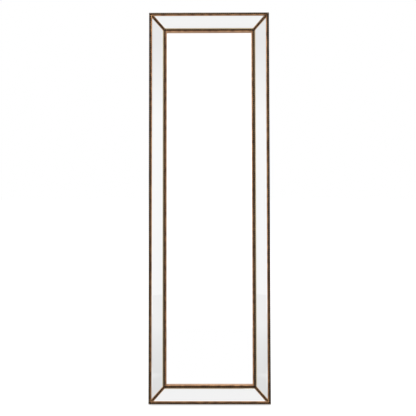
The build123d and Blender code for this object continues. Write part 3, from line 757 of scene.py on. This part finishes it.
@dataclass(frozen=True)
class ZincPlate(Finish):
    """Stamped steel with bright zinc: cool grey metal with a soft, uneven shine."""

    bright: str = "C6CACC"
    dull: str = "989DA1"
    # Zinc crystals are under 1 mm on plated parts; they are drawn coarser to show.
    spangle: float = 5.0
    smooth: float = 0.28
    worn: float = 0.45

    def paint(
        self, tree: bpy.types.NodeTree, place: bpy.types.NodeSocket, shader: bpy.types.Node
    ) -> None:
        """Feeds the shader with zinc crystals."""
        spangle = add_node(
            tree, "ShaderNodeTexVoronoi", {"Vector": place, "Scale": 1 / self.spangle})
        cloud = add_node(
            tree, "ShaderNodeTexNoise",
            {"Vector": place, "Scale": 1 / (4 * self.spangle), "Detail": 3.0})
        tone = add_node(
            tree, "ShaderNodeMath",
            {0: spangle.outputs["Color"], 1: 0.35, 2: cloud.outputs["Fac"]},
            {"operation": "MULTIPLY_ADD"})
        tone = add_node(
            tree, "ShaderNodeMapRange",
            {"Value": tone.outputs[0], "From Min": 0.4, "From Max": 0.95})
        colour = add_node(
            tree, "ShaderNodeValToRGB", {"Fac": tone.outputs[0]},
            stops=[(0.0, linear(self.dull)), (1.0, linear(self.bright))])
        tree.links.new(colour.outputs["Color"], shader.inputs["Base Color"])
        rough = add_node(
            tree, "ShaderNodeMapRange",
            {"Value": tone.outputs[0], "To Min": self.worn, "To Max": self.smooth})
        tree.links.new(rough.outputs[0], shader.inputs["Roughness"])
        shader.inputs["Metallic"].default_value = 1.0


@dataclass(frozen=True)
class TurnedMetal(Finish):
    """Metal turned on a lathe: fine rings round the X axis that catch the light."""

    bright: str = "D2D4D6"
    dull: str = "A9ACAF"
    # A lathe's feed is about 0.1 mm; it is drawn at 1.5 mm to show.
    feed: float = 1.5

    def paint(
        self, tree: bpy.types.NodeTree, place: bpy.types.NodeSocket, shader: bpy.types.Node
    ) -> None:
        """Feeds the shader with the tool's rings."""
        ring = add_node(
            tree, "ShaderNodeTexWave",
            {"Vector": place, "Scale": math.tau / 20 / self.feed, "Distortion": 0.4},
            {"wave_type": "BANDS", "bands_direction": "X"})
        colour = add_node(
            tree, "ShaderNodeValToRGB", {"Fac": ring.outputs["Fac"]},
            stops=[(0.2, linear(self.dull)), (0.8, linear(self.bright))])
        tree.links.new(colour.outputs["Color"], shader.inputs["Base Color"])
        rough = add_node(
            tree, "ShaderNodeMapRange",
            {"Value": ring.outputs["Fac"], "To Min": 0.34, "To Max": 0.2})
        tree.links.new(rough.outputs[0], shader.inputs["Roughness"])
        shader.inputs["Metallic"].default_value = 1.0
        bump = add_node(
            tree, "ShaderNodeBump",
            {"Height": ring.outputs["Fac"], "Strength": 0.2, "Distance": 0.0002})
        tree.links.new(bump.outputs[0], shader.inputs["Normal"])


@dataclass
class SubAssembly(ABC):
    """A group of pieces that are made and fitted together."""

    axes: Axes

    @abstractmethod
    def dress(self) -> None:
        """Gives every piece of the group its finish."""

    def give(self, finish: Finish, pieces: Iterable[str]) -> None:
        """Makes a finish and puts it on some pieces.

        Args:
            finish: the finish to make.
            pieces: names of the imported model's nodes.
        """
        material = finish.make()
        for piece in pieces:
            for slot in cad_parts[piece].material_slots:
                slot.material = material
            log.info("%s: %s", piece, finish.name)


@dataclass
class WoodenFrame(SubAssembly):
    """Mitred rails and stiles with plywood splines in their corners."""

    sizes: FrameSizes
    fibre: float = 5.0
    veneer: float = 1.0

    def dress(self) -> None:
        """Paints the rails and stiles along their own grain and leaves the splines bare."""
        self.give(
            SprayedBronzePaint("sprayed_bronze_paint_rails", self.axes, self.sizes,
                               Grain.ACROSS, fibre=self.fibre),
            ("frame_top_rail", "frame_bottom_rail"))
        self.give(
            SprayedBronzePaint("sprayed_bronze_paint_stiles", self.axes, self.sizes,
                               Grain.UP, fibre=self.fibre),
            ("frame_left_stile", "frame_right_stile"))
        self.give(SawnBirchPly("sawn_birch_ply", self.axes, veneer=self.veneer),
                  ("corner_splines",))


@dataclass
class BeadedMouldings(SubAssembly):
    """Outer and inner beaded mouldings, and the corner trims over the strips' mitres."""

    sizes: FrameSizes

    def dress(self) -> None:
        """Gilds the straight mouldings and the corner trims."""
        sides = ("top", "bottom", "left", "right")
        straight = [f"{place}_trim_{side}" for place in ("outer", "inner") for side in sides]
        corners = [f"mitre_trim_{end}_{side}" for end in sides[:2] for side in sides[2:]]
        self.give(
            GlazedCopperLeaf("glazed_copper_leaf", self.axes, self.sizes, Bead.STRAIGHT),
            straight)
        self.give(
            GlazedCopperLeaf("glazed_copper_leaf_corners", self.axes, self.sizes, Bead.MITRE),
            corners)


@dataclass
class MirrorGlass(SubAssembly):
    """The main mirror and the four sloping mirrored strips round it."""

    sizes: FrameSizes
    # Darker silver than the main mirror's: painted shade on the strips, which are the same glass.
    shaded_strip_silver: str = "F2F2F2"

    def dress(self) -> None:
        """Silvers the main mirror and the strips, each by its own front face."""
        self.give(
            SilveredGlass("silvered_float_glass_main", self.axes, self.sizes, Pane.MAIN),
            ("main_mirror",))
        self.give(
            SilveredGlass("silvered_float_glass_strips", self.axes, self.sizes, Pane.STRIP,
                          silver=self.shaded_strip_silver),
            [f"mirror_strip_{side}" for side in ("top", "bottom", "left", "right")])


@dataclass
class PanelBack(SubAssembly):
    """Everything behind the mirror that stays with the panel."""

    fleck: float = 5.0
    band: float = 9.0
    feed: float = 1.5

    def dress(self) -> None:
        """Finishes the back panel, felt, battens, brackets, screws and rubber."""
        self.give(PressedHardboard("pressed_brown_hardboard", self.axes, fleck=self.fleck),
                  ("back_panel",))
        self.give(PressedFelt("pressed_grey_felt", self.axes), ("backing_felt",))
        self.give(MouldedRubber("moulded_black_rubber", self.axes),
                  ("setting_blocks", "leg_bumpers", "foot_pads"))
        self.give(StainedPine("stained_pine_battens", self.axes, band=self.band),
                  ("hinge_batten", "stay_batten", "bumper_batten"))
        self.give(
            ZincPlate("stamped_zinc_plate", self.axes),
            ("hinge_bracket_left", "hinge_bracket_right",
             "stay_bracket_left", "stay_bracket_right"))
        self.give(
            ZincPlate("bright_zinc_screws", self.axes, "D0D2D0", "8F9498", 2.0, 0.22, 0.38),
            ("back_panel_screws", "batten_screws", "hinge_bracket_screws",
             "stay_bracket_screws", "hinge_dome_nuts"))
        self.give(TurnedMetal("turned_steel", self.axes, feed=self.feed),
                  ("hinge_rod", "stay_pivot_pins"))


@dataclass
class EaselLeg(SubAssembly):
    """Folding leg: two uprights, three rungs, its bushes, feet and slotted tracks."""

    band: float = 9.0
    feed: float = 1.5

    def dress(self) -> None:
        """Finishes the wood along its grain, then the metal and the rubber."""
        self.give(StainedPine("stained_pine_uprights", self.axes, Grain.UP, band=self.band),
                  ("leg_upright_left", "leg_upright_right"))
        self.give(StainedPine("stained_pine_rungs", self.axes, Grain.ACROSS, band=self.band),
                  ("leg_rung_top", "leg_rung_middle", "leg_rung_bottom"))
        self.give(ZincPlate("rolled_zinc_plate", self.axes),
                  ("slot_track_left", "slot_track_right"))
        self.give(
            ZincPlate("bright_zinc_leg_screws", self.axes, "D0D2D0", "8F9498", 2.0, 0.22, 0.38),
            ("rung_screws", "track_screws"))
        self.give(TurnedMetal("turned_brass", self.axes, "E0BE78", "B48E48", self.feed),
                  ("hinge_bushes",))
        self.give(MouldedRubber("moulded_black_rubber_feet", self.axes), ("leg_feet",))


@dataclass
class Stays(SubAssembly):
    """Two flat steel arms between panel and leg, each with its riveted slider pin."""

    spangle: float = 5.0
    feed: float = 1.5

    def dress(self) -> None:
        """Finishes the arms and their pins."""
        self.give(ZincPlate("flat_zinc_plate", self.axes, spangle=self.spangle),
                  ("stay_arm_left", "stay_arm_right"))
        self.give(TurnedMetal("turned_steel_pins", self.axes, feed=self.feed),
                  ("slider_pin_left", "slider_pin_right"))


@dataclass
class Studio:
    """White studio: floor, room and soft lamps at a plain level."""

    half_floor: float = 9.0
    room_level: float = 0.55
    key_watts: float = 80.0
    fill_watts: float = 24.0
    back_watts: float = 55.0
    # What the glass mirrors: a floor that brightens sideways, and a room with bright walls, a
    # darker line under the ceiling and an even ceiling. Heights are sines above the horizon.
    floor_near: float = 0.82
    floor_far: float = 0.97
    floor_run: float = 2.6
    floor_matt: float = 0.45
    floor_lift: float = 0.8
    # The floor in front of the main mirror, as wide as the glass looks from the camera.
    lane_level: float = 1.01
    lane_outer: float = 0.14
    lane_inner: float = 0.11
    camera_reach: float = 2.42
    wall_ahead: float = 0.2
    room_levels: tuple[tuple[float, float], ...] = (
        (0.0, 1.04), (0.26, 1.07), (0.38, 0.91), (0.8, 1.0))
    peak: float = 1.25

    def build(self) -> None:
        """Makes the floor, the room and the lamps."""
        self.floor()
        self.room()
        self.lamp("key_lamp", (-2.4, -1.0, 3.6), 1.2, self.key_watts)
        self.lamp("fill_lamp", (1.4, -1.7, 4.6), 1.6, self.fill_watts)
        self.lamp("back_lamp", (1.4, 2.6, 3.6), 1.8, self.back_watts)

    def floor(self) -> None:
        """Lays a pale floor, white to the camera and graded like a real room in the glass."""
        shape = bmesh.new()
        bmesh.ops.create_grid(shape, x_segments=2, y_segments=2, size=self.half_floor)
        mesh = bpy.data.meshes.new("studio_floor")
        shape.to_mesh(mesh)
        shape.free()
        floor = bpy.data.objects.new("studio_floor", mesh)
        bpy.context.scene.collection.objects.link(floor)
        mesh.materials.append(self.floor_paint())

    def floor_paint(self) -> bpy.types.Material:
        """Makes the floor's paint.

        Returns:
            Matt white that keeps shadows, with a graded level for reflections.
        """
        material = bpy.data.materials.new("matt_white_floor")
        material.use_nodes = True
        tree = material.node_tree
        tree.nodes.clear()
        where = add_node(tree, "ShaderNodeTexCoord")
        axis = add_node(
            tree, "ShaderNodeSeparateXYZ", {"Vector": where.outputs["Object"]}).outputs
        aside = add_node(tree, "ShaderNodeMath", {0: axis["X"]}, {"operation": "ABSOLUTE"})
        wide = add_node(
            tree, "ShaderNodeMapRange",
            {"Value": aside.outputs[0], "From Max": self.floor_run,
             "To Min": self.floor_near, "To Max": self.floor_far})
        reach = add_node(
            tree, "ShaderNodeMath", {0: self.camera_reach, 1: axis["Y"]},
            {"operation": "SUBTRACT"})
        reach = add_node(
            tree, "ShaderNodeMath", {0: aside.outputs[0], 1: reach.outputs[0]},
            {"operation": "DIVIDE"})
        lane = add_node(
            tree, "ShaderNodeMapRange",
            {"Value": reach.outputs[0], "From Min": self.lane_outer,
             "From Max": self.lane_inner},
            {"interpolation_type": "SMOOTHSTEP"})
        ahead = add_node(
            tree, "ShaderNodeMapRange",
            {"Value": axis["Y"], "From Min": -0.5, "From Max": -0.7},
            {"interpolation_type": "SMOOTHSTEP"})
        lane = add_node(
            tree, "ShaderNodeMath", {0: lane.outputs[0], 1: ahead.outputs[0]},
            {"operation": "MULTIPLY"})
        level = add_node(
            tree, "ShaderNodeMix", {0: lane.outputs[0], 2: wide.outputs[0], 3: self.lane_level})
        path = add_node(tree, "ShaderNodeLightPath").outputs
        mirrored = add_node(
            tree, "ShaderNodeMath", {0: path["Is Glossy Ray"], 1: path["Is Transmission Ray"]},
            {"operation": "MAXIMUM"})
        matt = add_node(tree, "ShaderNodeBsdfDiffuse", {"Color": (self.floor_matt,) * 3 + (1.0,)})
        lift = add_node(
            tree, "ShaderNodeMath", {0: path["Is Camera Ray"], 1: self.floor_lift},
            {"operation": "MULTIPLY"})
        white = add_node(tree, "ShaderNodeEmission", {"Strength": lift.outputs[0]})
        seen = add_node(
            tree, "ShaderNodeAddShader", {0: matt.outputs[0], 1: white.outputs[0]})
        glow = add_node(tree, "ShaderNodeEmission", {"Strength": level.outputs[0]})
        both = add_node(
            tree, "ShaderNodeMixShader",
            {0: mirrored.outputs[0], 1: seen.outputs[0], 2: glow.outputs[0]})
        add_node(tree, "ShaderNodeOutputMaterial", {"Surface": both.outputs[0]})
        return material

    def room(self) -> None:
        """Sets the room: white to the camera, graded in the glass, softer as light."""
        world = bpy.data.worlds.new("white_room")
        bpy.context.scene.world = world
        world.use_nodes = True
        tree = world.node_tree
        tree.nodes.clear()
        where = add_node(tree, "ShaderNodeTexCoord")
        axis = add_node(
            tree, "ShaderNodeSeparateXYZ", {"Vector": where.outputs["Object"]}).outputs
        walls = add_node(
            tree, "ShaderNodeValToRGB", {"Fac": axis["Z"]},
            stops=[(height, (level / self.peak,) * 3 + (1.0,))
                   for height, level in self.room_levels])
        ahead = add_node(
            tree, "ShaderNodeMapRange",
            {"Value": axis["Y"], "From Min": -0.78, "From Max": -0.87,
             "To Max": self.wall_ahead},
            {"interpolation_type": "SMOOTHSTEP"})
        level = add_node(
            tree, "ShaderNodeMath",
            {0: walls.outputs["Color"], 1: self.peak, 2: ahead.outputs[0]},
            {"operation": "MULTIPLY_ADD"})
        path = add_node(tree, "ShaderNodeLightPath").outputs
        mirrored = add_node(
            tree, "ShaderNodeMath", {0: path["Is Glossy Ray"], 1: path["Is Transmission Ray"]},
            {"operation": "MAXIMUM"})
        strength = add_node(
            tree, "ShaderNodeMix",
            {0: mirrored.outputs[0], 2: self.room_level, 3: level.outputs[0]})
        strength = add_node(
            tree, "ShaderNodeMix", {0: path["Is Camera Ray"], 2: strength.outputs[0], 3: 1.0})
        light = add_node(tree, "ShaderNodeBackground", {"Strength": strength.outputs[0]})
        light.inputs["Color"].default_value = (1.0, 1.0, 1.0, 1.0)
        add_node(tree, "ShaderNodeOutputWorld", {"Surface": light.outputs[0]})

    def lamp(
        self, name: str, place: tuple[float, float, float], size: float, watts: float
    ) -> None:
        """Hangs a soft square lamp that points at the mirror.

        Args:
            name: name of the lamp.
            place: where it hangs, in metres.
            size: side of the square, in metres.
            watts: its power.
        """
        data = bpy.data.lights.new(name, "AREA")
        data.size = size
        data.energy = watts
        lamp = bpy.data.objects.new(name, data)
        lamp.location = place
        aim = Vector((0.0, 0.0, 0.8)) - Vector(place)
        lamp.rotation_euler = aim.to_track_quat("-Z", "Y").to_euler()
        bpy.context.scene.collection.objects.link(lamp)


@dataclass
class PhotoCamera:
    """Camera at the photograph's angle, worked out from the outline's four corners."""

    axes: Axes
    middle: tuple[float, float, float] = (0.0, -14.0, 825.0)
    distance: float = 2.425
    height_angle: float = 6.008
    turn_angle: float = 0.16
    roll_angle: float = -0.128
    aim_shift: tuple[float, float, float] = (-0.00567, 0.0, -0.00587)
    lens: float = 49.23
    sensor: float = 36.0

    def build(self) -> None:
        """Makes the camera and hands it to the scene."""
        lean = math.radians(self.axes.lean)
        middle = Vector(self.axes.origin)
        middle += Matrix.Rotation(-lean, 3, "X") @ Vector(self.middle) / MM_PER_M
        high, turn = math.radians(self.height_angle), math.radians(self.turn_angle)
        back = Vector((math.sin(turn) * math.cos(high), -math.cos(turn) * math.cos(high),
                       math.sin(high)))
        place = middle + back * self.distance
        aim = middle + Vector(self.aim_shift) - place
        data = bpy.data.cameras.new("photo_camera")
        data.lens = self.lens
        data.sensor_width = self.sensor
        camera = bpy.data.objects.new("photo_camera", data)
        camera.location = place
        roll = Matrix.Rotation(math.radians(self.roll_angle), 3, "Z")
        camera.rotation_euler = (aim.to_track_quat("-Z", "Y").to_matrix() @ roll).to_euler()
        bpy.context.scene.collection.objects.link(camera)
        bpy.context.scene.camera = camera


def main() -> None:
    """Builds the studio and dresses every sub-assembly in turn."""
    logging.basicConfig(level=logging.INFO, format="%(name)s %(message)s")
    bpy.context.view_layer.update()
    bpy.context.scene.view_settings.view_transform = "Standard"
    panel = Axes((0.0, -0.171421, 0.00198054), 8.0)
    leg = Axes((0.0, 0.0274356, 1.11514), -9.0)
    sizes = FrameSizes()
    PhotoCamera(panel).build()
    Studio().build()
    for group in (WoodenFrame(panel, sizes), BeadedMouldings(panel, sizes),
                  MirrorGlass(panel, sizes), PanelBack(panel), EaselLeg(leg), Stays(leg)):
        group.dress()
        log.info("dressed %s", type(group).__name__)


if __name__ == "__main__":
    main()
